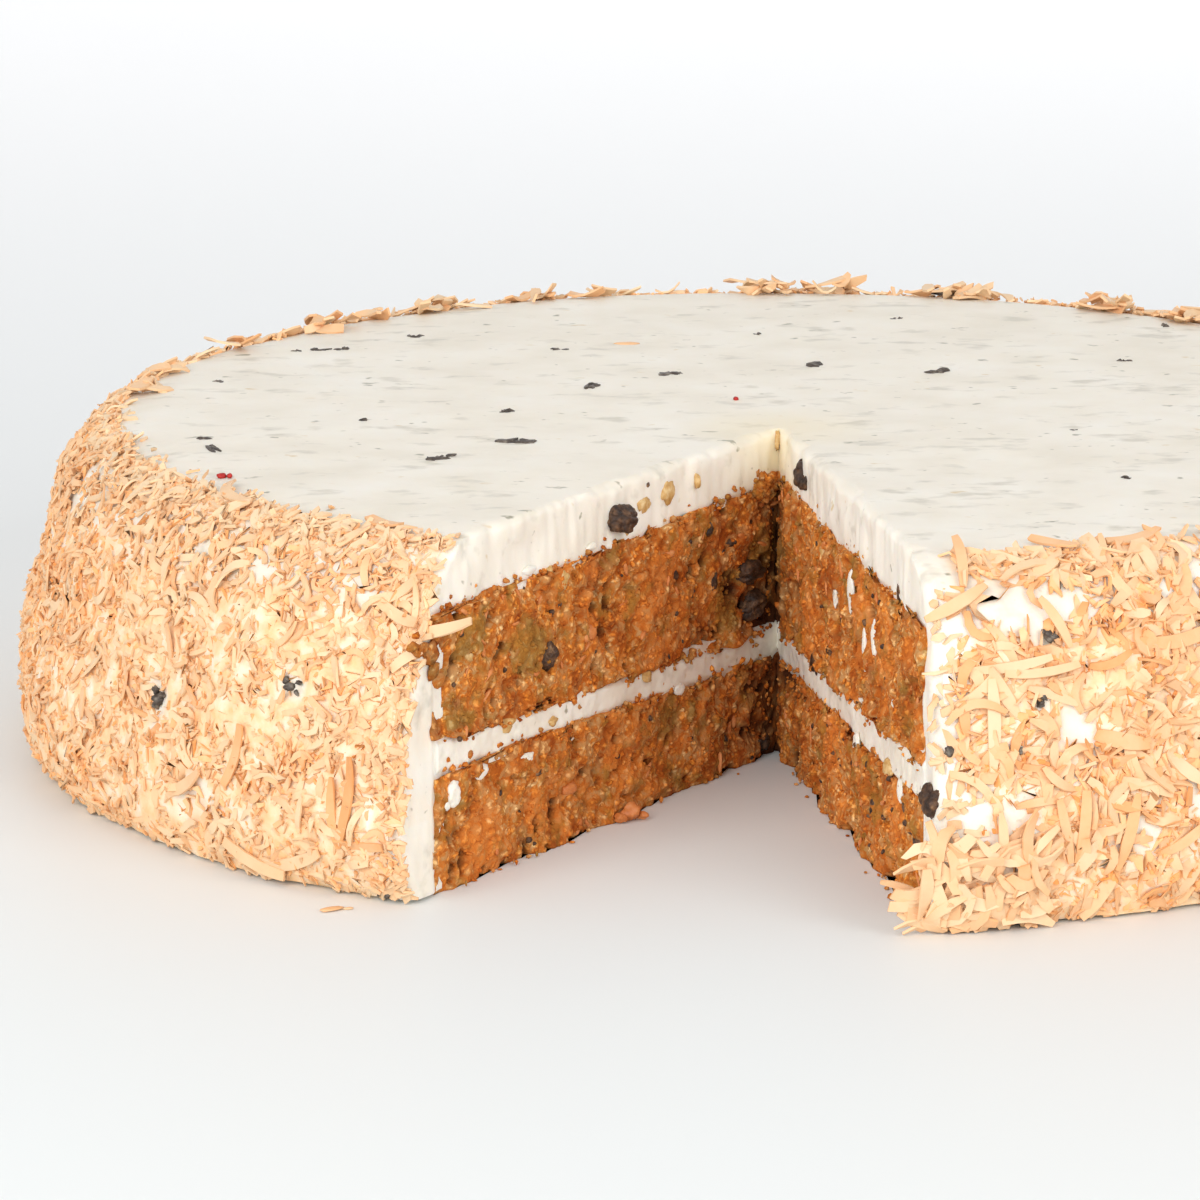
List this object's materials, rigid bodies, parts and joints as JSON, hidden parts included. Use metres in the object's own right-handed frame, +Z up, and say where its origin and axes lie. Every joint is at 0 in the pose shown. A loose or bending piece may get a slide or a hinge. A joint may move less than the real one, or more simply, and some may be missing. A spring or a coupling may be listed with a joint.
{
  "type": "carrot spice layer cake",
  "caption": "Round layer cake with cream cheese icing, toasted coconut on its side and a slice cut out, showing crumb layers, cream filling and raisins.",
  "frame": {"origin": "on the axis of the round cake, in the plane that it stands on", "axes": "+Z up; -Y out of the missing slice, towards the viewer; +X to the viewer's right"},
  "size_m": [0.2419, 0.2402, 0.0546],
  "materials": {
    "crumb": "matte",
    "cream": "satin",
    "icing": "satin",
    "raisin": "satin"
  },
  "bodies": {
    "root": {"cake_lower_layer": "crumb", "cream_filling": "cream", "cake_upper_layer": "crumb", "icing": "icing", "raisin_1": "raisin", "raisin_2": "raisin", "raisin_3": "raisin", "raisin_4": "raisin", "raisin_5": "raisin", "raisin_6": "raisin"}
  },
  "joints": []
}
